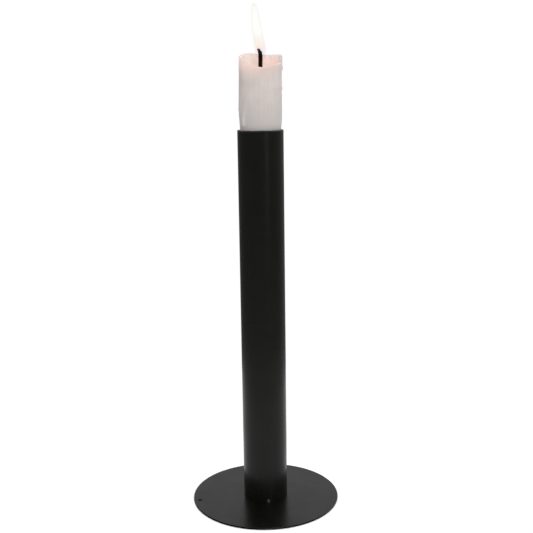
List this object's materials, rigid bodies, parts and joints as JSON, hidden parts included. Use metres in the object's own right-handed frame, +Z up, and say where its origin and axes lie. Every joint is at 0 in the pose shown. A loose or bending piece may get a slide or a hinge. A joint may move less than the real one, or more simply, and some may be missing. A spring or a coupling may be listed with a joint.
{
  "type": "candle holder",
  "caption": "Tall black steel tube on a thin round foot plate, holding a burning tapered-foot dinner candle that lifts out of the tube.",
  "frame": {"origin": "centre of the foot plate's underside, on the floor", "axes": "+Z up along the tube, -Y the front, the hang hole is 11 degrees to the front of -X"},
  "size_m": [0.0804, 0.0804, 0.267],
  "materials": {
    "black_coat": "satin",
    "wax": "satin",
    "liquid_wax": "gloss",
    "charred_wick": "matte",
    "flame": "gloss"
  },
  "bodies": {
    "holder": {"base_plate": "black_coat", "stem_tube": "black_coat", "foot_tacks": "black_coat", "candle_stop": "black_coat"},
    "candle": {"candle": "wax", "melt_pool": "liquid_wax", "wick": "charred_wick", "flame": "flame"}
  },
  "joints": [
    {"name": "candle_lift", "type": "slide", "parent": "holder", "child": "candle", "axis": [0, 0, 1], "range_m": [0, 0.04]}
  ]
}
